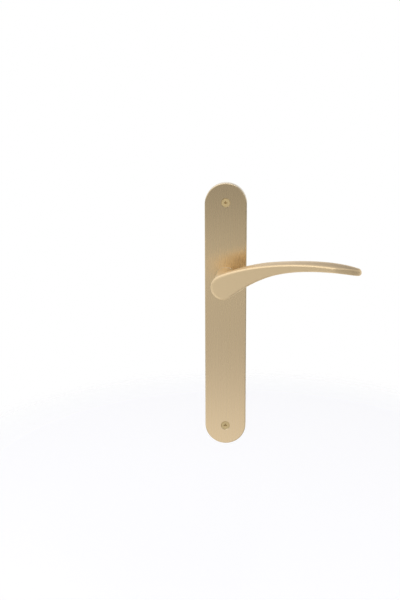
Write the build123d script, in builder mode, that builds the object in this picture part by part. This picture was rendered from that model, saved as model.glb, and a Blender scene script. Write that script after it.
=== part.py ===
"""Lever handle on a long round-ended backplate, for the right-hand side of a door.

The origin is on the spindle axis, in the plane of the door face. X runs along the lever,
Z is up and the viewer stands at -Y. Every height below is a distance from the door face
towards the viewer, so sketches lie on Plane.XZ and its offsets.
"""

import os
from math import asin, cos, degrees, pi, sin

from build123d import *

os.makedirs("parts", exist_ok=True)

# Backplate
fixing_centres = 195.0
axis_below_top_fixing = 62.5
plate_end_margin = 16.4
plate_width = 35.0
plate_front_wall = 2.2
plate_side_wall = 2.2
plate_edge_radius = 0.8

# Fixing screws
screw_thread_diameter = 4.0
screw_shank_diameter = 3.0
screw_head_diameter = 7.0
screw_length = 30.0
screw_point_length = 4.0
screw_recess = 0.3
screw_thread_start = 0.5
screw_clearance = 0.2
screw_seat_gap = 0.05
screw_boss_wall = 1.6
cross_length = 3.2
cross_width = 0.7
cross_depth = 1.1

# Lever from the front: places along X from the axis, heights along Z, slopes in degrees
hub_diameter = 20.3
hub_top_slope = 23.7
hub_bottom_slope = 39.7
bend_place = 38.0
bend_top = 18.3
bend_bottom = 9.8
bend_top_slope = 4.8
bend_bottom_slope = 17.0
tip_place = 107.7
tip_top = 11.7
tip_bottom = 10.5
tip_top_slope = -18.7
tip_bottom_slope = -8.3
tip_nose = 3.2
curve_pull = 0.31

# Lever from above and in section
lever_projection = 42.0
grip_depth = 14.0
grip_layers = 4
crown_rise = 0.9
tip_crown_rise = 2.9
belly_drop = 1.0
back_swell = 0.35
tip_turn = 22.0
tip_turn_power = 5
hub_round = 1.8
grip_round = 1.1
tip_round = 0.8
front_round_depth = 1.6
back_round_depth = 1.6
round_layers = 3

# Neck, journal and what turns in the plate
neck_diameter = 17.0
neck_step = 0.3
root_height = 9.0
root_reach = 9.0
root_layers = 3
journal_diameter = 14.0
journal_flats = 12.0
journal_end_gap = 0.3
axial_play = 0.1
bush_clearance = 0.05
bush_wall = 0.9
bush_flange = 0.8
bush_seat_gap = 0.02
bearing_boss_wall = 1.6
driver_thickness = 1.1
driver_rim = 0.6
driver_gap = 0.05
ring_thickness = 1.0
ring_width = 2.0
ring_gap = 0.05
ring_groove_depth = 0.4
ring_end_margin = 0.4
ring_opening = 4.0
ring_lug_diameter = 3.4
ring_lug_hole = 1.4

# Return spring, and the stops that limit the lever's travel in degrees
lever_travel = 45.0
stop_clearance = 0.3
stop_ear_width = 6.0
stop_ear_reach = 16.5
stop_peg_diameter = 3.6
stop_peg_radius = 14.5
spring_wire = 1.1
spring_coil_gap = 0.08
spring_seat_gap = 0.1
spring_clearance = 0.5
spring_whole_turns = 2
spring_tab_width = 5.0
spring_tab_height = 2.2
spring_tab_gap = 1.2
spring_leg_gap = 0.05
spring_leg_overhang = 0.8
anchor_leg_angle = 160.0
anchor_post_diameter = 3.0

# Spindle and grub screw
spindle_width = 7.0
spindle_gap = 0.05
spindle_behind_door = 65.0
spindle_in_lever = 20.0
spindle_chamfer = 0.5
socket_end_gap = 0.5
grub_diameter = 5.0
grub_length = 4.5
grub_gap = 0.05
grub_seat_gap = 0.02
grub_above_plate = 6.5
grub_hex = 2.5
grub_hex_depth = 2.0

# Radii around the spindle axis
hub_radius = hub_diameter / 2
neck_radius = neck_diameter / 2
journal_radius = journal_diameter / 2
groove_radius = journal_radius - ring_groove_depth
bush_radius = journal_radius + bush_clearance + bush_wall
boss_radius = bush_radius + bush_seat_gap + bearing_boss_wall
spring_radius = boss_radius + spring_clearance + spring_wire / 2
spring_outside = spring_radius + spring_wire / 2
tab_inside = spring_outside + spring_tab_gap
tab_outside = tab_inside + driver_thickness
leg_end = tab_outside + spring_leg_overhang
leg_root = spring_wire / 4

# Angles around the axis, seen from the front: the tab stands at the top, the ear hangs below
tab_leg_offset = spring_tab_width / 2 + spring_wire / 2 + spring_leg_gap
tab_leg_angle = 90 - degrees(asin(tab_leg_offset / tab_inside))
anchor_post_radius = (spring_outside + leg_end) / 2
anchor_post_offset = anchor_post_diameter / 2 + spring_wire / 2 + spring_leg_gap
anchor_post_angle = anchor_leg_angle - degrees(asin(anchor_post_offset / anchor_post_radius))
stop_peg_offset = stop_ear_width / 2 + stop_peg_diameter / 2 + stop_clearance
stop_peg_angle = degrees(asin(stop_peg_offset / stop_peg_radius))
stop_peg_angles = (stop_peg_angle - 90, -90 - lever_travel - stop_peg_angle)

# Heights from the door face, stacked from the journal's end up to the lever's front
spring_turns = spring_whole_turns + (anchor_leg_angle - tab_leg_angle) / 360
spring_pitch = spring_wire + spring_coil_gap
spring_rise = spring_turns * spring_pitch
ring_back = journal_end_gap + ring_end_margin
ring_front = ring_back + ring_thickness
driver_back = ring_front + driver_gap
driver_front = driver_back + driver_thickness
boss_back = driver_front + axial_play
spring_back = driver_front + spring_seat_gap + spring_wire / 2
plate_inside = spring_back + spring_rise + spring_wire / 2 + spring_seat_gap
plate_front = plate_inside + plate_front_wall
neck_back = plate_front + bush_flange + axial_play
lever_front = plate_front + lever_projection
lever_back = lever_front - grip_depth
spindle_front = plate_front + spindle_in_lever

# Fixing points on the plate's centre line
fixing_heights = (axis_below_top_fixing, axis_below_top_fixing - fixing_centres)
fixing_points = [(0, height) for height in fixing_heights]
plate_middle = sum(fixing_heights) / 2
plate_length = fixing_centres + 2 * plate_end_margin
countersink_radius = screw_head_diameter / 2 + screw_recess + screw_seat_gap

# Backplate: hollow shell with a rounded front edge, screw bosses, bearing boss, pegs and spring post
with BuildPart() as backplate:
    with BuildSketch(Plane.XZ):
        with Locations((0, plate_middle)):
            SlotOverall(plate_length, plate_width, rotation=90)
    extrude(amount=plate_front)
    fillet(backplate.faces().sort_by(Axis.Y)[0].edges(), plate_edge_radius)
    with BuildSketch(Plane.XZ):
        with Locations((0, plate_middle)):
            SlotOverall(plate_length - 2 * plate_side_wall, plate_width - 2 * plate_side_wall, rotation=90)
    extrude(amount=plate_inside, mode=Mode.SUBTRACT)
    with BuildSketch(Plane.XZ):
        with Locations(*fixing_points):
            Circle(countersink_radius + screw_boss_wall)
    extrude(amount=plate_inside)
    with BuildSketch(Plane.XZ.offset(boss_back)):
        Circle(boss_radius)
        with PolarLocations(anchor_post_radius, 1, anchor_post_angle):
            Circle(anchor_post_diameter / 2)
    extrude(amount=plate_inside - boss_back)
    with BuildSketch(Plane.XZ.offset(driver_back)):
        for angle in stop_peg_angles:
            with PolarLocations(stop_peg_radius, 1, angle):
                Circle(stop_peg_diameter / 2)
    extrude(amount=plate_inside - driver_back)
    with BuildSketch(Plane.XZ):
        Circle(bush_radius + bush_seat_gap)
    extrude(amount=plate_front, mode=Mode.SUBTRACT)
    with Locations(*[Plane.XZ.offset(plate_front) * Pos(x, z) for x, z in fixing_points]):
        CounterSinkHole(screw_thread_diameter / 2 + screw_clearance, countersink_radius)
backplate.part.label = "backplate"
export_step(backplate.part, "parts/backplate.step")

# Fixing screws: two countersunk wood screws with a cross recess, sunk a little below the plate's front
screw_top = plate_front - screw_recess
screw_cone = (screw_head_diameter - screw_shank_diameter) / 2
with BuildPart() as fixing_screw:
    with BuildSketch(Plane.YZ):
        with BuildLine():
            Polyline(
                (-screw_top, 0),
                (-screw_top, screw_head_diameter / 2),
                (screw_cone - screw_top, screw_shank_diameter / 2),
                (screw_thread_start, screw_shank_diameter / 2),
                (screw_thread_start, screw_thread_diameter / 2),
                (screw_length - screw_point_length - screw_top, screw_thread_diameter / 2),
                (screw_length - screw_top, 0),
                close=True,
            )
        make_face()
    revolve(axis=Axis.Y)
    with BuildSketch(Plane.XZ.offset(screw_top)):
        Rectangle(cross_length, cross_width)
        Rectangle(cross_width, cross_length)
    extrude(amount=-cross_depth, mode=Mode.SUBTRACT)
fixing_screws = Compound([Pos(0, 0, height) * fixing_screw.part for height in fixing_heights])
fixing_screws.label = "fixing_screws"
export_step(fixing_screws, "parts/fixing_screws.step")

# Lever: outlines of the grip stacked from its flat front to its back, then neck, journal and socket.
# The rims in front and behind turn in by a quarter of an ellipse, widest at the hub.
hub_top_way = Vector(1, 0).rotate(Axis.Z, hub_top_slope)
hub_bottom_way = Vector(1, 0).rotate(Axis.Z, hub_bottom_slope)
bend_top_way = Vector(1, 0).rotate(Axis.Z, bend_top_slope)
bend_bottom_way = Vector(1, 0).rotate(Axis.Z, bend_bottom_slope)
tip_top_way = Vector(1, 0).rotate(Axis.Z, tip_top_slope)
tip_bottom_way = Vector(1, 0).rotate(Axis.Z, tip_bottom_slope)
root_slope = (hub_top_slope + hub_bottom_slope) / 2
root_way = Vector(1, 0).rotate(Axis.Z, root_slope)
quarter_turn = [pi / 2 * layer / round_layers for layer in range(round_layers + 1)]
straight_run = [layer / grip_layers for layer in range(grip_layers + 1)]
body_depth = grip_depth - front_round_depth - back_round_depth
front_layers = [(front_round_depth * (1 - sin(angle)), 1 - cos(angle)) for angle in quarter_turn]
body_layers = [(front_round_depth + body_depth * share, 0) for share in straight_run]
back_layers = [(grip_depth - front, inset) for front, inset in front_layers]
grip_sections = []
for behind_front, inset in front_layers + body_layers + back_layers:
    depth = behind_front / grip_depth
    swell = 4 * depth * (1 - depth) + back_swell * depth
    turn = tip_turn * (1 - depth) ** tip_turn_power + tip_round * inset
    radius = hub_radius - (hub_radius - neck_radius + neck_step) * depth**2 - hub_round * inset
    top_start = Vector(0, radius).rotate(Axis.Z, hub_top_slope)
    top_bend = Vector(bend_place, bend_top + crown_rise * swell - grip_round * inset)
    top_tip = Vector(tip_place, tip_top + tip_crown_rise * swell - tip_round * inset)
    bottom_start = Vector(0, -radius).rotate(Axis.Z, hub_bottom_slope)
    bottom_bend = Vector(bend_place, bend_bottom - belly_drop * swell + grip_round * inset)
    bottom_tip = Vector(tip_place, tip_bottom - belly_drop * swell + tip_round * inset)
    curves = []
    for start, start_way, end, end_way in (
        (top_start, hub_top_way, top_bend, bend_top_way),
        (top_bend, bend_top_way, top_tip, tip_top_way),
        (bottom_start, hub_bottom_way, bottom_bend, bend_bottom_way),
        (bottom_bend, bend_bottom_way, bottom_tip, tip_bottom_way),
    ):
        pull = curve_pull * (end - start).length
        curves.append(Bezier(start, start + start_way * pull, end - end_way * pull, end))
    top_near, top_far, bottom_near, bottom_far = curves
    top_far = top_far.trim(0, 1 - turn / top_far.length)
    bottom_far = bottom_far.trim(0, 1 - turn / bottom_far.length)
    top_end, bottom_end = top_far @ 1, bottom_far @ 1
    nose_top = top_end + (top_far % 1) * tip_nose
    nose_bottom = bottom_end + (bottom_far % 1) * tip_nose
    nose = Bezier(top_end, nose_top, nose_bottom, bottom_end)
    hub = ThreePointArc(top_start, (-radius, 0), bottom_start)
    outline = Wire([hub, top_near, top_far, nose, bottom_far, bottom_near])
    grip_sections.append(Plane.XZ.offset(lever_front - behind_front) * Face(outline))
front_end = len(front_layers)
back_start = front_end + len(body_layers)

with BuildPart() as lever:
    loft(grip_sections[:front_end])
    loft(grip_sections[front_end:back_start])
    loft(grip_sections[back_start:])
    with BuildSketch(Plane.XZ.offset(neck_back)):
        Circle(neck_radius)
    extrude(amount=(lever_front + lever_back) / 2 - neck_back)
    for layer in range(root_layers + 1):
        share = layer / root_layers
        reach = root_reach * share**2
        root_plane = Plane.XZ.offset(lever_back + back_round_depth - root_height * (1 - share))
        with BuildSketch(root_plane):
            with Locations(root_way * reach / 2):
                Ellipse(neck_radius - neck_step + reach / 2, neck_radius - neck_step, rotation=root_slope)
    loft()
    with BuildSketch(Plane.XZ.offset(journal_end_gap)):
        Circle(journal_radius)
    extrude(amount=neck_back - journal_end_gap)
    with BuildSketch(Plane.XZ.offset(journal_end_gap)):
        Circle(journal_radius)
        Rectangle(journal_flats, journal_diameter, mode=Mode.SUBTRACT)
    extrude(amount=driver_front - journal_end_gap, mode=Mode.SUBTRACT)
    with BuildSketch(Plane.XZ.offset(ring_back - ring_gap)):
        Circle(journal_radius)
        Circle(groove_radius, mode=Mode.SUBTRACT)
    extrude(amount=ring_thickness + 2 * ring_gap, mode=Mode.SUBTRACT)
    with BuildSketch(Plane.XZ.offset(journal_end_gap)):
        Rectangle(spindle_width + 2 * spindle_gap, spindle_width + 2 * spindle_gap)
    extrude(amount=spindle_front + socket_end_gap - journal_end_gap, mode=Mode.SUBTRACT)
    with BuildSketch(Plane.XY):
        with Locations((0, -plate_front - grub_above_plate)):
            Circle(grub_diameter / 2 + grub_gap)
    extrude(amount=-neck_radius, mode=Mode.SUBTRACT)
lever.part.label = "lever"
export_step(lever.part, "parts/lever.step")

# Bearing bush: flanged sleeve that the journal turns in
with BuildPart() as bearing_bush:
    with BuildSketch(Plane.XZ.offset(boss_back)):
        Circle(bush_radius)
    extrude(amount=plate_front - boss_back)
    with BuildSketch(Plane.XZ.offset(plate_front)):
        Circle(neck_radius)
    extrude(amount=bush_flange)
    with BuildSketch(Plane.XZ):
        Circle(journal_radius + bush_clearance)
    extrude(amount=neck_back, mode=Mode.SUBTRACT)
bearing_bush.part.label = "bearing_bush"
export_step(bearing_bush.part, "parts/bearing_bush.step")

# Return spring: square wire coiled round the bearing boss, one leg on the driver's tab and one on the post
tab_leg_way = Vector(1, 0, 0).rotate(Axis.Y, -tab_leg_angle)
spring_seat = Plane(origin=(0, -spring_back, 0), x_dir=tab_leg_way, z_dir=(0, -1, 0))
with BuildPart() as coiled_wire:
    with BuildLine() as coil:
        Helix(spring_pitch, spring_rise, spring_radius)
    with BuildSketch(Plane(origin=coil.line @ 0, x_dir=(1, 0, 0), z_dir=coil.line % 0)):
        Rectangle(spring_wire, spring_wire)
    sweep(path=coil.line, is_frenet=True)
    for end, along in ((coil.line @ 0, coil.line % 0), (coil.line @ 1, coil.line % 1)):
        outwards = Vector(end.X, end.Y, 0).normalized()
        with BuildSketch(Plane(origin=end + outwards * leg_root, x_dir=along, z_dir=outwards)):
            Rectangle(spring_wire, spring_wire)
        extrude(amount=leg_end - spring_radius - leg_root)
return_spring = spring_seat.location * coiled_wire.part
return_spring.label = "return_spring"
export_step(return_spring, "parts/return_spring.step")

# Spring driver: washer keyed to the journal's flats, with a tab for the spring and an ear for the stops
with BuildPart() as spring_driver:
    with BuildSketch(Plane.XZ.offset(driver_back)):
        Circle(spring_outside + driver_rim)
        Rectangle(spring_tab_width, tab_outside, align=(Align.CENTER, Align.MIN))
        Rectangle(stop_ear_width, stop_ear_reach, align=(Align.CENTER, Align.MAX))
        with BuildSketch(mode=Mode.SUBTRACT):
            Circle(journal_radius + driver_gap)
            Rectangle(journal_flats + 2 * driver_gap, journal_diameter + 2 * driver_gap, mode=Mode.INTERSECT)
    extrude(amount=driver_thickness)
    with BuildSketch(Plane.XZ.offset(driver_front)):
        with Locations((0, tab_inside)):
            Rectangle(spring_tab_width, driver_thickness, align=(Align.CENTER, Align.MIN))
    extrude(amount=spring_tab_height)
spring_driver.part.label = "spring_driver"
export_step(spring_driver.part, "parts/spring_driver.step")

# Retaining ring: open ring in the journal's groove, with a pierced lug each side of its opening
ring_inside = groove_radius + ring_gap
lug_circle = ring_inside + ring_lug_diameter / 2
lug_spread = degrees(asin((ring_opening + ring_lug_diameter) / 2 / lug_circle))
with BuildPart() as retaining_ring:
    with BuildSketch(Plane.XZ.offset(ring_back)):
        Circle(ring_inside + ring_width)
        for angle in (lug_spread - 90, -lug_spread - 90):
            with PolarLocations(lug_circle, 1, angle):
                Circle(ring_lug_diameter / 2)
                Circle(ring_lug_hole / 2, mode=Mode.SUBTRACT)
        Circle(ring_inside, mode=Mode.SUBTRACT)
        Rectangle(
            ring_opening,
            lug_circle + ring_lug_diameter,
            align=(Align.CENTER, Align.MAX),
            mode=Mode.SUBTRACT,
        )
    extrude(amount=ring_thickness)
retaining_ring.part.label = "retaining_ring"
export_step(retaining_ring.part, "parts/retaining_ring.step")

# Spindle: square bar from the lever's socket through the latch in the door
with BuildPart() as spindle:
    with BuildSketch(Plane.XZ.offset(-spindle_behind_door)):
        Rectangle(spindle_width, spindle_width)
    extrude(amount=spindle_behind_door + spindle_front)
    chamfer(spindle.faces().filter_by(Axis.Y).edges(), spindle_chamfer)
spindle.part.label = "spindle"
export_step(spindle.part, "parts/spindle.step")

# Grub screw: hexagon socket screw from below the neck on to the spindle's flat
grub_end = -spindle_width / 2 - grub_seat_gap
with BuildPart() as grub_screw:
    with BuildSketch(Plane.XY.offset(grub_end)):
        with Locations((0, -plate_front - grub_above_plate)):
            Circle(grub_diameter / 2)
    extrude(amount=-grub_length)
    with BuildSketch(Plane.XY.offset(grub_end - grub_length)):
        with Locations((0, -plate_front - grub_above_plate)):
            RegularPolygon(grub_hex / 2, 6, major_radius=False)
    extrude(amount=grub_hex_depth, mode=Mode.SUBTRACT)
grub_screw.part.label = "grub_screw"
export_step(grub_screw.part, "parts/grub_screw.step")
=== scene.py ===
from math import pi, radians

import bmesh
import bpy
from mathutils import Matrix, Vector


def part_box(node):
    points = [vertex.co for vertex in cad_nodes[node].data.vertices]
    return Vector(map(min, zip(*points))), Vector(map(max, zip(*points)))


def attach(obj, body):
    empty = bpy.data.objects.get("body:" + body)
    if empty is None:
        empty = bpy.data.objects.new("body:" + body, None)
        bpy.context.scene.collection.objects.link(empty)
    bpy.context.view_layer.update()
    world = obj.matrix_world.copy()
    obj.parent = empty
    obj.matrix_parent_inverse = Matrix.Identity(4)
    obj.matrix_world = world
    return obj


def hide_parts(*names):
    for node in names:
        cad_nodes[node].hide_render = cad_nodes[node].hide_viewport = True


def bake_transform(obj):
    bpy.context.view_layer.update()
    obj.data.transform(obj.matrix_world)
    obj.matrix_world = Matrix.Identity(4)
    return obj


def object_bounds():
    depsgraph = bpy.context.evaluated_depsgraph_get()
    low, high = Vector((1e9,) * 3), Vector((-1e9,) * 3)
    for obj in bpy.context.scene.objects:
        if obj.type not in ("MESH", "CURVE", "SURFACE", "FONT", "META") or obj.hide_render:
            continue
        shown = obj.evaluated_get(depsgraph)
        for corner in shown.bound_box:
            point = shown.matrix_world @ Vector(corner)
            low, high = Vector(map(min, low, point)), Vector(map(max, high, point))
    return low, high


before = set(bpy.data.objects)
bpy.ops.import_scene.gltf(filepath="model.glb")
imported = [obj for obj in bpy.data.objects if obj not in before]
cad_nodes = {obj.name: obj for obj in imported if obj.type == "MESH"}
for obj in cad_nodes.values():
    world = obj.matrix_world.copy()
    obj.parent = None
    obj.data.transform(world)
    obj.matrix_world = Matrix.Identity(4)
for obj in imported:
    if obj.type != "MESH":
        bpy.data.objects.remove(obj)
cad_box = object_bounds()

# Backplate: a long round-ended cover of aluminium, hollow behind, linished from end to end
# on a belt and then anodised pale gold. The two screws at its ends hold it to the door.
mm = 0.001


def linear(colour):
    """The linear colour of an sRGB hex value."""
    shares = [int(colour[place : place + 2], 16) / 255 for place in (1, 3, 5)]
    return [s / 12.92 if s <= 0.04045 else ((s + 0.055) / 1.055) ** 2.4 for s in shares] + [1.0]


def add_node(tree, kind, inputs, **settings):
    """Adds a node to a tree, with its settings, and its inputs linked or set."""
    made = tree.nodes.new(kind)
    for name, value in settings.items():
        setattr(made, name, value)
    for name, value in inputs.items():
        if isinstance(value, bpy.types.NodeSocket):
            tree.links.new(value, made.inputs[name])
        else:
            made.inputs[name].default_value = value
    return made


def new_material(name, **sockets):
    """A material with its shader's sockets set. Returns it, its tree and its shader."""
    material = bpy.data.materials.new(name)
    material.use_nodes = True
    shader = material.node_tree.nodes["Principled BSDF"]
    for socket, value in sockets.items():
        shader.inputs[socket.replace("_", " ")].default_value = value
    return material, material.node_tree, shader


def dress(material, *nodes):
    """Gives parts of the frame their material."""
    for node in nodes:
        cad_nodes[node].data.materials.clear()
        cad_nodes[node].data.materials.append(material)


# Brushed, anodised aluminium: the belt leaves fine scratches along the plate, which spread its
# shine sideways and give it a soft silk. Its rim is only polished, so it is smoother and paler.
# The real scratches are about 0.1 mm wide, and are drawn 0.5 mm wide so that they show. The belt
# doesn't reach the hollow behind, which keeps the dull, pitted skin of the casting.
plate_gold = "#DDC6A0"
plate_gold_deep = "#DAC29C"
scratch_width = 0.5 * mm
scratch_length = 150 * mm
silk_smooth, silk_rough = 0.265, 0.285
groove_depth = 0.05 * mm
groove_strength = 0.03
pattern_low, pattern_high = 0.3, 0.7  # between these lies nearly all of a noise pattern
rim_gold = "#D5C6A9"
rim_roughness = 0.2
rim_begins, rim_full = 0.98, 0.8  # how squarely a face looks to the front or the back
cast_gold = "#C9B48C"
cast_roughness = 0.55
cast_begins, cast_full = 0.5, 0.9  # how squarely a face looks to the back
pit_size = 0.6 * mm
plate_metal, tree, shader = new_material("brushed_anodised_aluminium", Metallic=1.0, Anisotropic=0.8)
coords = add_node(tree, "ShaderNodeTexCoord", {})
along_plate = (1 / scratch_width, 1 / scratch_width, 1 / scratch_length)
stretched = add_node(tree, "ShaderNodeMapping", {"Vector": coords.outputs["Object"], "Scale": along_plate})
scratches = add_node(
    tree, "ShaderNodeTexNoise", {"Vector": stretched.outputs[0], "Scale": 1.0, "Detail": 3.0}
)
facing = add_node(tree, "ShaderNodeSeparateXYZ", {0: coords.outputs["Normal"]})
squarely = add_node(tree, "ShaderNodeMath", {0: facing.outputs["Y"]}, operation="ABSOLUTE")
rim = add_node(
    tree,
    "ShaderNodeMapRange",
    {"Value": squarely.outputs[0], "From Min": rim_begins, "From Max": rim_full},
)
hollow = add_node(
    tree,
    "ShaderNodeMapRange",
    {"Value": facing.outputs["Y"], "From Min": cast_begins, "From Max": cast_full},
)
brushed_tint = add_node(
    tree,
    "ShaderNodeMix",
    {"Factor": scratches.outputs[0], "A": linear(plate_gold_deep), "B": linear(plate_gold)},
    data_type="RGBA",
)
front_tint = add_node(
    tree,
    "ShaderNodeMix",
    {"Factor": rim.outputs[0], "A": brushed_tint.outputs["Result"], "B": linear(rim_gold)},
    data_type="RGBA",
)
tint = add_node(
    tree,
    "ShaderNodeMix",
    {"Factor": hollow.outputs[0], "A": front_tint.outputs["Result"], "B": linear(cast_gold)},
    data_type="RGBA",
)
silk = add_node(
    tree,
    "ShaderNodeMapRange",
    {
        "Value": scratches.outputs[0],
        "From Min": pattern_low,
        "From Max": pattern_high,
        "To Min": silk_smooth,
        "To Max": silk_rough,
    },
)
front_gloss = add_node(
    tree, "ShaderNodeMix", {"Factor": rim.outputs[0], "A": silk.outputs[0], "B": rim_roughness}
)
gloss = add_node(
    tree,
    "ShaderNodeMix",
    {"Factor": hollow.outputs[0], "A": front_gloss.outputs["Result"], "B": cast_roughness},
)
pits = add_node(
    tree, "ShaderNodeTexNoise", {"Vector": coords.outputs["Object"], "Scale": 1 / pit_size, "Detail": 4.0}
)
skin = add_node(
    tree, "ShaderNodeMix", {"Factor": hollow.outputs[0], "A": scratches.outputs[0], "B": pits.outputs[0]}
)
grooves = add_node(
    tree,
    "ShaderNodeBump",
    {"Height": skin.outputs["Result"], "Strength": groove_strength, "Distance": groove_depth},
)
sideways = add_node(tree, "ShaderNodeTangent", {}, direction_type="RADIAL", axis="Z")
tree.links.new(tint.outputs["Result"], shader.inputs["Base Color"])
tree.links.new(gloss.outputs["Result"], shader.inputs["Roughness"])
tree.links.new(grooves.outputs[0], shader.inputs["Normal"])
tree.links.new(sideways.outputs[0], shader.inputs["Tangent"])
dress(plate_metal, "backplate")

# Lever: one aluminium casting with hub, neck and arched grip, ground smooth, satin finished
# and anodised in the same pale gold. It turns in the plate.

# Satin anodised aluminium: blasted with fine bead before anodising, so its shine is wide and even,
# with a faint grain along the grip. The real grain is about 0.1 mm, and is drawn at 0.4 mm.
lever_gold = "#E6CFA7"
lever_gold_deep = "#E2CAA2"
grit = 0.4 * mm
grit_stretch = 5
grit_depth = 0.03 * mm
grit_strength = 0.05
satin_smooth, satin_rough = 0.44, 0.48
lever_metal, tree, shader = new_material("satin_anodised_aluminium", Metallic=1.0)
coords = add_node(tree, "ShaderNodeTexCoord", {})
along_grip = (1 / grit / grit_stretch, 1 / grit, 1 / grit)
sized = add_node(tree, "ShaderNodeMapping", {"Vector": coords.outputs["Object"], "Scale": along_grip})
satin = add_node(tree, "ShaderNodeTexNoise", {"Vector": sized.outputs[0], "Scale": 1.0, "Detail": 3.0})
tint = add_node(
    tree,
    "ShaderNodeMix",
    {"Factor": satin.outputs[0], "A": linear(lever_gold_deep), "B": linear(lever_gold)},
    data_type="RGBA",
)
silk = add_node(
    tree,
    "ShaderNodeMapRange",
    {
        "Value": satin.outputs[0],
        "From Min": pattern_low,
        "From Max": pattern_high,
        "To Min": satin_smooth,
        "To Max": satin_rough,
    },
)
grain = add_node(
    tree,
    "ShaderNodeBump",
    {"Height": satin.outputs[0], "Strength": grit_strength, "Distance": grit_depth},
)
tree.links.new(tint.outputs["Result"], shader.inputs["Base Color"])
tree.links.new(silk.outputs[0], shader.inputs["Roughness"])
tree.links.new(grain.outputs[0], shader.inputs["Normal"])
dress(lever_metal, "lever")

# Fixing screws: two countersunk wood screws of steel with a cross recess and a rolled thread,
# plated to go with the plate. Their heads sit a little below its face.
screw_low, screw_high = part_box("fixing_screws")
head_radius = screw_high.x
head_rim = 0.3 * mm
shank_radius = 1.5 * mm
core_radius = 1.35 * mm
crest_radius = 2.0 * mm
ridge_root = shank_radius / 2
thread_start = 0.5 * mm
thread_pitch = 1.8 * mm
thread_foot = 0.9 * mm
thread_steps = 24
point_length = 4.0 * mm
point_end = screw_high.y
point_start = point_end - point_length
cross_length = 3.2 * mm
cross_width = 0.7 * mm
cross_depth = 1.1 * mm
cross_taper = 0.25
round_steps = 48
merge_distance = 0.001 * mm
sharp_angle = radians(35)
turned_profile = (
    (screw_low.y, head_radius),
    (screw_low.y + head_rim, head_radius),
    (screw_low.y + head_radius - shank_radius, shank_radius),
    (thread_start, shank_radius),
    (thread_start + shank_radius - core_radius, core_radius),
    (point_start, core_radius),
    (point_end, 0),
)
screw_shape = bmesh.new()
profile = [screw_shape.verts.new((0, place, radius)) for place, radius in turned_profile]
sides = [screw_shape.edges.new(pair) for pair in zip(profile, profile[1:])]
bmesh.ops.spin(
    screw_shape,
    geom=profile + sides,
    cent=(0, 0, 0),
    axis=(0, 1, 0),
    angle=2 * pi,
    steps=round_steps,
    use_merge=True,
)
bmesh.ops.remove_doubles(screw_shape, verts=screw_shape.verts, dist=merge_distance)
head_edge = [edge for edge in screw_shape.edges if edge.is_boundary]
cross_half, arm_half = cross_length / 2, cross_width / 2
arm = [(cross_half, -arm_half), (cross_half, arm_half), (arm_half, arm_half)]
quarters = [Matrix.Rotation(pi / 2 * quarter, 2) for quarter in range(4)]
outline = [quarter @ Vector(point) for quarter in quarters for point in arm]
cross = [screw_shape.verts.new((point.x, screw_low.y, point.y)) for point in outline]
cross_edges = [screw_shape.edges.new(pair) for pair in zip(cross, cross[1:] + cross[:1])]
bmesh.ops.triangle_fill(screw_shape, edges=head_edge + cross_edges, use_beauty=True)
sunk = bmesh.ops.extrude_edge_only(screw_shape, edges=cross_edges)["geom"]
cross_floor = [part for part in sunk if isinstance(part, bmesh.types.BMVert)]
bmesh.ops.translate(screw_shape, verts=cross_floor, vec=(0, cross_depth, 0))
bmesh.ops.scale(screw_shape, verts=cross_floor, vec=(cross_taper, 1, cross_taper))
floor_edges = [part for part in sunk if isinstance(part, bmesh.types.BMEdge)]
floor_edges = [edge for edge in floor_edges if edge.is_boundary]
bmesh.ops.triangle_fill(screw_shape, edges=floor_edges, use_beauty=True)
thread_shape = bmesh.new()
ridge_profile = ((0, ridge_root), (thread_foot / 2, crest_radius), (thread_foot, ridge_root))
ridge = [thread_shape.verts.new((0, thread_start + place, radius)) for place, radius in ridge_profile]
ridge_edges = [thread_shape.edges.new(pair) for pair in zip(ridge, ridge[1:] + ridge[:1])]
thread_turns = (point_end - thread_start - thread_foot) / thread_pitch
bmesh.ops.spin(
    thread_shape,
    geom=ridge + ridge_edges,
    cent=(0, 0, 0),
    axis=(0, 1, 0),
    dvec=(0, thread_pitch / thread_steps, 0),
    angle=2 * pi * thread_turns,
    steps=round(thread_turns * thread_steps),
)
bmesh.ops.holes_fill(thread_shape, edges=[edge for edge in thread_shape.edges if edge.is_boundary])
for vert in thread_shape.verts:
    taper = min(1, max(0, (point_end - vert.co.y) / point_length))
    vert.co.x *= taper
    vert.co.z *= taper
screw_mesh = bpy.data.meshes.new("fixing_screw_pair")
for shape in (screw_shape, thread_shape):
    bmesh.ops.recalc_face_normals(shape, faces=shape.faces)
thread_shape.to_mesh(screw_mesh)
screw_shape.from_mesh(screw_mesh)
thread_shape.free()
upper = screw_shape.verts[:] + screw_shape.edges[:] + screw_shape.faces[:]
lower = bmesh.ops.duplicate(screw_shape, geom=upper)["geom"]
for half, height in ((upper, screw_high.z - head_radius), (lower, screw_low.z + head_radius)):
    half_verts = [part for part in half if isinstance(part, bmesh.types.BMVert)]
    bmesh.ops.translate(screw_shape, verts=half_verts, vec=(0, 0, height))
screw_shape.to_mesh(screw_mesh)
screw_shape.free()
screw_mesh.set_sharp_from_angle(angle=sharp_angle)
screws = bpy.data.objects.new("fixing_screw_pair", screw_mesh)
bpy.context.scene.collection.objects.link(screws)

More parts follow.
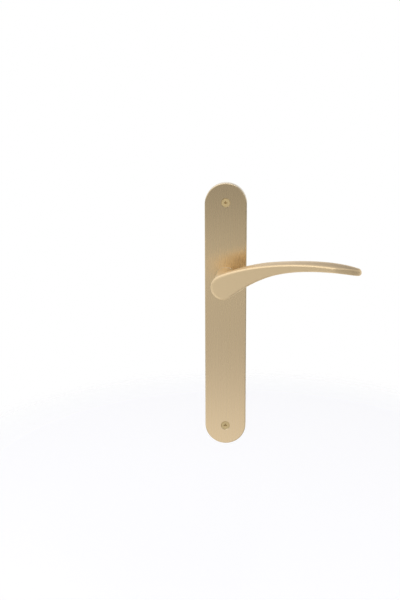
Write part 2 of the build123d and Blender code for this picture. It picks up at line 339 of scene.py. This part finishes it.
# Brass-plated steel, barrel polished: a dull, even yellow shine, with small dull spots where the
# driver bit has rubbed.
plated_gold = "#DEC898"
plated_worn = "#CEB788"
rub_size = 0.8 * mm
rubbed_roughness, plated_roughness = 0.58, 0.46
screw_metal, tree, shader = new_material("brass_plated_steel", Metallic=1.0)
coords = add_node(tree, "ShaderNodeTexCoord", {})
rubbed = add_node(
    tree, "ShaderNodeTexNoise", {"Vector": coords.outputs["Object"], "Scale": 1 / rub_size, "Detail": 4.0}
)
tint = add_node(
    tree,
    "ShaderNodeMix",
    {"Factor": rubbed.outputs[0], "A": linear(plated_worn), "B": linear(plated_gold)},
    data_type="RGBA",
)
dulled = add_node(
    tree,
    "ShaderNodeMapRange",
    {
        "Value": rubbed.outputs[0],
        "From Min": pattern_low,
        "From Max": pattern_high,
        "To Min": rubbed_roughness,
        "To Max": plated_roughness,
    },
)
tree.links.new(tint.outputs["Result"], shader.inputs["Base Color"])
tree.links.new(dulled.outputs[0], shader.inputs["Roughness"])
screw_mesh.materials.append(screw_metal)
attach(screws, "plate")
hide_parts("fixing_screws")

# Bearing bush: a flanged sleeve moulded in natural nylon, pressed into the plate's boss,
# in which the lever's journal turns.

# Natural nylon: milky and a little see-through at its edges, with a dull moulded skin.
nylon_white = "#E4E1D4"
nylon_shade = "#D6D2C2"
flow_size = 4 * mm
skin_smooth, skin_rough = 0.42, 0.55
bush_nylon, tree, shader = new_material(
    "natural_nylon", Subsurface_Weight=0.15, Subsurface_Scale=1 * mm, IOR=1.53
)
coords = add_node(tree, "ShaderNodeTexCoord", {})
flow = add_node(
    tree, "ShaderNodeTexNoise", {"Vector": coords.outputs["Object"], "Scale": 1 / flow_size, "Detail": 2.0}
)
tint = add_node(
    tree,
    "ShaderNodeMix",
    {"Factor": flow.outputs[0], "A": linear(nylon_shade), "B": linear(nylon_white)},
    data_type="RGBA",
)
skin = add_node(
    tree, "ShaderNodeMapRange", {"Value": flow.outputs[0], "To Min": skin_smooth, "To Max": skin_rough}
)
tree.links.new(tint.outputs["Result"], shader.inputs["Base Color"])
tree.links.new(skin.outputs[0], shader.inputs["Roughness"])
dress(bush_nylon, "bearing_bush")

# Return spring: square spring-steel wire coiled round the bearing boss. Its outer leg lies on the
# plate's post and its inner leg on the driver's tab, so it winds up as the lever goes down.
spring_shape = bmesh.new()
spring_shape.from_mesh(cad_nodes["return_spring"].data)
bmesh.ops.remove_doubles(spring_shape, verts=spring_shape.verts, dist=merge_distance)
spring_mesh = bpy.data.meshes.new("return_spring_wire")
spring_shape.to_mesh(spring_mesh)
spring_shape.free()
spring_mesh.set_sharp_from_angle(angle=sharp_angle)
spring = bpy.data.objects.new("return_spring_wire", spring_mesh)
bpy.context.scene.collection.objects.link(spring)

# Oiled spring steel: dark blue-brown from tempering, with a thin film of oil that lies unevenly.
steel_dark = "#5A5550"
steel_brown = "#6B5F52"
oil_size = 2 * mm
oiled_roughness, dry_roughness = 0.25, 0.42
spring_steel, tree, shader = new_material("oiled_spring_steel", Metallic=1.0)
coords = add_node(tree, "ShaderNodeTexCoord", {})
oil = add_node(
    tree, "ShaderNodeTexNoise", {"Vector": coords.outputs["Object"], "Scale": 1 / oil_size, "Detail": 3.0}
)
tint = add_node(
    tree,
    "ShaderNodeMix",
    {"Factor": oil.outputs[0], "A": linear(steel_dark), "B": linear(steel_brown)},
    data_type="RGBA",
)
film = add_node(
    tree,
    "ShaderNodeMapRange",
    {
        "Value": oil.outputs[0],
        "From Min": pattern_low,
        "From Max": pattern_high,
        "To Min": oiled_roughness,
        "To Max": dry_roughness,
    },
)
tree.links.new(tint.outputs["Result"], shader.inputs["Base Color"])
tree.links.new(film.outputs[0], shader.inputs["Roughness"])
spring_mesh.materials.append(spring_steel)
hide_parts("return_spring")
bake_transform(spring)

# Retaining ring: a stamped circlip of the same oiled spring steel, sprung into the journal's groove.
# The grub screw in the neck, which clamps the lever to the spindle, is of that steel too.
dress(spring_steel, "retaining_ring", "grub_screw")

# Spring driver and spindle: a washer stamped from steel sheet and keyed to the journal's flats, and
# a drawn square bar that turns the latch. Both are zinc plated against rust.

# Bright zinc plate on steel: pale grey with a cold cast and a fine crystal spangle, duller in the
# low spots. The real spangle is about 0.3 mm, and is drawn at 1.2 mm so that it shows.
zinc_bright = "#C9CCD0"
zinc_dull = "#B4B6B8"
spangle = 1.2 * mm
zinc_smooth, zinc_rough = 0.28, 0.4
zinc_steel, tree, shader = new_material("bright_zinc_plated_steel", Metallic=1.0)
coords = add_node(tree, "ShaderNodeTexCoord", {})
crystals = add_node(
    tree, "ShaderNodeTexVoronoi", {"Vector": coords.outputs["Object"], "Scale": 1 / spangle}
)
patches = add_node(tree, "ShaderNodeSeparateColor", {0: crystals.outputs["Color"]})
tint = add_node(
    tree,
    "ShaderNodeMix",
    {"Factor": patches.outputs[0], "A": linear(zinc_dull), "B": linear(zinc_bright)},
    data_type="RGBA",
)
plating = add_node(
    tree, "ShaderNodeMapRange", {"Value": patches.outputs[1], "To Min": zinc_smooth, "To Max": zinc_rough}
)
tree.links.new(tint.outputs["Result"], shader.inputs["Base Color"])
tree.links.new(plating.outputs[0], shader.inputs["Roughness"])
dress(zinc_steel, "spring_driver", "spindle")

# The floor: a round white table top well below the handle, which fades out before the room begins.
# The camera and the metal see it as white, and it still takes the handle's shadow.
floor_drop = 300 * mm
floor_behind = 600 * mm
floor_full = 400 * mm
floor_edge = 560 * mm
floor_sides = 64
floor_lift = 0.24
floor_white = "#F2F1EE"
floor_mesh = bpy.data.meshes.new("floor")
floor_shape = bmesh.new()
bmesh.ops.create_circle(floor_shape, cap_ends=True, segments=floor_sides, radius=floor_edge)
bmesh.ops.translate(floor_shape, verts=floor_shape.verts, vec=(0, floor_behind, cad_box[0].z - floor_drop))
floor_shape.to_mesh(floor_mesh)
floor_shape.free()
floor = bpy.data.objects.new("floor", floor_mesh)
bpy.context.scene.collection.objects.link(floor)

# White painted board: matt, and a little warm.
table_white, tree, shader = new_material(
    "white_table_top", Base_Color=linear(floor_white), Roughness=0.8, Emission_Color=(1, 1, 1, 1)
)
coords = add_node(tree, "ShaderNodeTexCoord", {})
from_middle = add_node(
    tree,
    "ShaderNodeVectorMath",
    {0: coords.outputs["Object"], 1: (0, floor_behind, 0)},
    operation="SUBTRACT",
)
level_place = add_node(
    tree, "ShaderNodeVectorMath", {0: from_middle.outputs[0], 1: (1, 1, 0)}, operation="MULTIPLY"
)
reach = add_node(tree, "ShaderNodeVectorMath", {0: level_place.outputs[0]}, operation="LENGTH")
fade = add_node(
    tree,
    "ShaderNodeMapRange",
    {"Value": reach.outputs["Value"], "From Min": floor_edge, "From Max": floor_full},
)
ray = add_node(tree, "ShaderNodeLightPath", {})
mirrored = add_node(
    tree,
    "ShaderNodeMath",
    {0: ray.outputs["Is Glossy Ray"], 1: ray.outputs["Is Transmission Ray"]},
    operation="MAXIMUM",
)
seen = add_node(
    tree, "ShaderNodeMath", {0: ray.outputs["Is Camera Ray"], 1: mirrored.outputs[0]}, operation="MAXIMUM"
)
lift = add_node(tree, "ShaderNodeMath", {0: seen.outputs[0], 1: floor_lift}, operation="MULTIPLY")
tree.links.new(lift.outputs[0], shader.inputs["Emission Strength"])
clear = add_node(tree, "ShaderNodeBsdfTransparent", {})
top = add_node(
    tree, "ShaderNodeMixShader", {0: fade.outputs[0], 1: clear.outputs[0], 2: shader.outputs[0]}
)
tree.links.new(top.outputs[0], tree.nodes["Material Output"].inputs["Surface"])
floor_mesh.materials.append(table_white)

# The room: a studio with dim and bright bands in front of the handle, a bright ceiling and a dark
# right-hand side, and a white backdrop that goes round behind it. The camera sees white all round,
# and the metal sees the backdrop white too. Each stop is a height or a side, and the light there.
front_light = (
    (-0.6, (0.92, 0.92, 0.92)),
    (-0.42, (1.35, 1.35, 1.38)),
    (-0.34, (1.25, 1.25, 1.28)),
    (-0.31, (0.54, 0.54, 0.57)),
    (-0.24, (0.62, 0.62, 0.62)),
    (-0.215, (1.05, 1.05, 1.03)),
    (-0.17, (1.05, 1.05, 1.0)),
    (-0.145, (0.3, 0.3, 0.3)),
    (0.0, (0.47, 0.47, 0.47)),
    (0.2, (1.25, 1.25, 1.25)),
    (0.6, (1.15, 1.15, 1.2)),
    (0.9, (1.0, 1.0, 1.05)),
)
front_side = (
    (-1.0, (0.9, 0.9, 0.9)),
    (-0.1, (1.05, 1.05, 1.05)),
    (0.25, (0.55, 0.55, 0.55)),
    (0.5, (0.4, 0.4, 0.4)),
    (0.9, (0.6, 0.6, 0.6)),
)
back_light = (
    (-0.8, (0.85, 0.85, 0.85)),
    (-0.55, (1.0, 1.0, 1.0)),
    (0.3, (1.0, 1.0, 1.0)),
    (0.55, (0.57, 0.59, 0.69)),
    (0.85, (0.57, 0.59, 0.69)),
    (1.0, (1.0, 1.0, 1.05)),
)
back_side = (
    (-0.9, (0.9, 0.9, 0.9)),
    (-0.4, (1.5, 1.5, 1.5)),
    (0.0, (1.0, 1.0, 1.0)),
    (0.3, (0.42, 0.42, 0.42)),
)
front_ends, back_begins = -0.2, 0.2
backdrop_begins, backdrop_full = 0.0, 0.15
backdrop_top, backdrop_fades = 0.55, 0.45
world = bpy.data.worlds.new("studio")
world.use_nodes = True
bpy.context.scene.world = world
tree = world.node_tree
tree.nodes.clear()
way = add_node(tree, "ShaderNodeTexCoord", {})
parts = add_node(tree, "ShaderNodeSeparateXYZ", {0: way.outputs["Generated"]})
halves = []
for up_stops, side_stops in ((front_light, front_side), (back_light, back_side)):
    ramps = []
    for part, stops in (("Z", up_stops), ("X", side_stops)):
        place = add_node(
            tree, "ShaderNodeMapRange", {"Value": parts.outputs[part], "From Min": -1.0, "From Max": 1.0}
        )
        ramp = add_node(tree, "ShaderNodeValToRGB", {"Fac": place.outputs[0]})
        points = ramp.color_ramp.elements
        while len(points) < len(stops):
            points.new(0.5)
        for point, (level, colour) in zip(points, stops):
            point.position = (level + 1) / 2
            point.color = colour + (1,)
        ramps.append(ramp.outputs[0])
    half = add_node(tree, "ShaderNodeVectorMath", {0: ramps[0], 1: ramps[1]}, operation="MULTIPLY")
    halves.append(half.outputs[0])
depth = add_node(
    tree,
    "ShaderNodeMapRange",
    {"Value": parts.outputs["Y"], "From Min": front_ends, "From Max": back_begins},
)
studio = add_node(
    tree, "ShaderNodeMix", {"Factor": depth.outputs[0], "A": halves[0], "B": halves[1]}, data_type="RGBA"
)
lit = add_node(tree, "ShaderNodeBackground", {"Color": studio.outputs["Result"], "Strength": 1.0})
white = add_node(tree, "ShaderNodeBackground", {"Color": (1, 1, 1, 1), "Strength": 1.0})
behind = add_node(
    tree,
    "ShaderNodeMapRange",
    {"Value": parts.outputs["Y"], "From Min": backdrop_begins, "From Max": backdrop_full},
)
low = add_node(
    tree,
    "ShaderNodeMapRange",
    {"Value": parts.outputs["Z"], "From Min": backdrop_top, "From Max": backdrop_fades},
)
backdrop = add_node(tree, "ShaderNodeMath", {0: behind.outputs[0], 1: low.outputs[0]}, operation="MULTIPLY")
ray = add_node(tree, "ShaderNodeLightPath", {})
bent = add_node(
    tree,
    "ShaderNodeMath",
    {0: ray.outputs["Is Glossy Ray"], 1: ray.outputs["Is Transmission Ray"]},
    operation="MAXIMUM",
)
mirrored = add_node(
    tree, "ShaderNodeMath", {0: bent.outputs[0], 1: backdrop.outputs[0]}, operation="MULTIPLY"
)
seen = add_node(
    tree, "ShaderNodeMath", {0: ray.outputs["Is Camera Ray"], 1: mirrored.outputs[0]}, operation="MAXIMUM"
)
both = add_node(tree, "ShaderNodeMixShader", {0: seen.outputs[0], 1: lit.outputs[0], 2: white.outputs[0]})
add_node(tree, "ShaderNodeOutputWorld", {"Surface": both.outputs[0]})

# The lamps: a soft box above and in front of the handle, which draws the bright line along the
# lever's crease, and a dimmer one overhead on its left. Places and sizes are in mm, power in watts.
lamp_target = Vector((40, -40, 10)) * mm
for name, place, size, power in (
    ("front_soft_box", (280, -1000, 1150), (700, 500), 3.3),
    ("ceiling_soft_box", (-550, 100, 1000), (900, 700), 1.7),
):
    lamp = bpy.data.lights.new(name, "AREA")
    lamp.shape = "RECTANGLE"
    lamp.size, lamp.size_y = size[0] * mm, size[1] * mm
    lamp.energy = power
    lamp_object = bpy.data.objects.new(name, lamp)
    lamp_object.location = Vector(place) * mm
    lamp_object.rotation_euler = (lamp_target - lamp_object.location).to_track_quat("-Z", "Y").to_euler()
    lamp_object.visible_camera = False
    bpy.context.scene.collection.objects.link(lamp_object)

# The camera: 0.8 m in front of the handle, above it and a little to its right, and tilted down.
# Its place and lens are fitted to the plate's edges and screws. Its turns are in degrees.
camera_place = Vector((35.3, -783.9, 163.7)) * mm
camera_turn = 4.205
camera_tilt = 76.69
camera_roll = -0.28
picture_height = 600
focal_pixels = 941.8
film_height = 36
camera = bpy.data.cameras.new("camera")
camera.sensor_width = film_height
camera.lens = film_height * focal_pixels / picture_height
camera_object = bpy.data.objects.new("camera", camera)
camera_object.matrix_world = (
    Matrix.Translation(camera_place)
    @ Matrix.Rotation(radians(camera_turn), 4, "Z")
    @ Matrix.Rotation(radians(camera_tilt), 4, "X")
    @ Matrix.Rotation(radians(camera_roll), 4, "Z")
)
bpy.context.scene.collection.objects.link(camera_object)
bpy.context.scene.camera = camera_object
bpy.context.scene.view_settings.view_transform = "Standard"
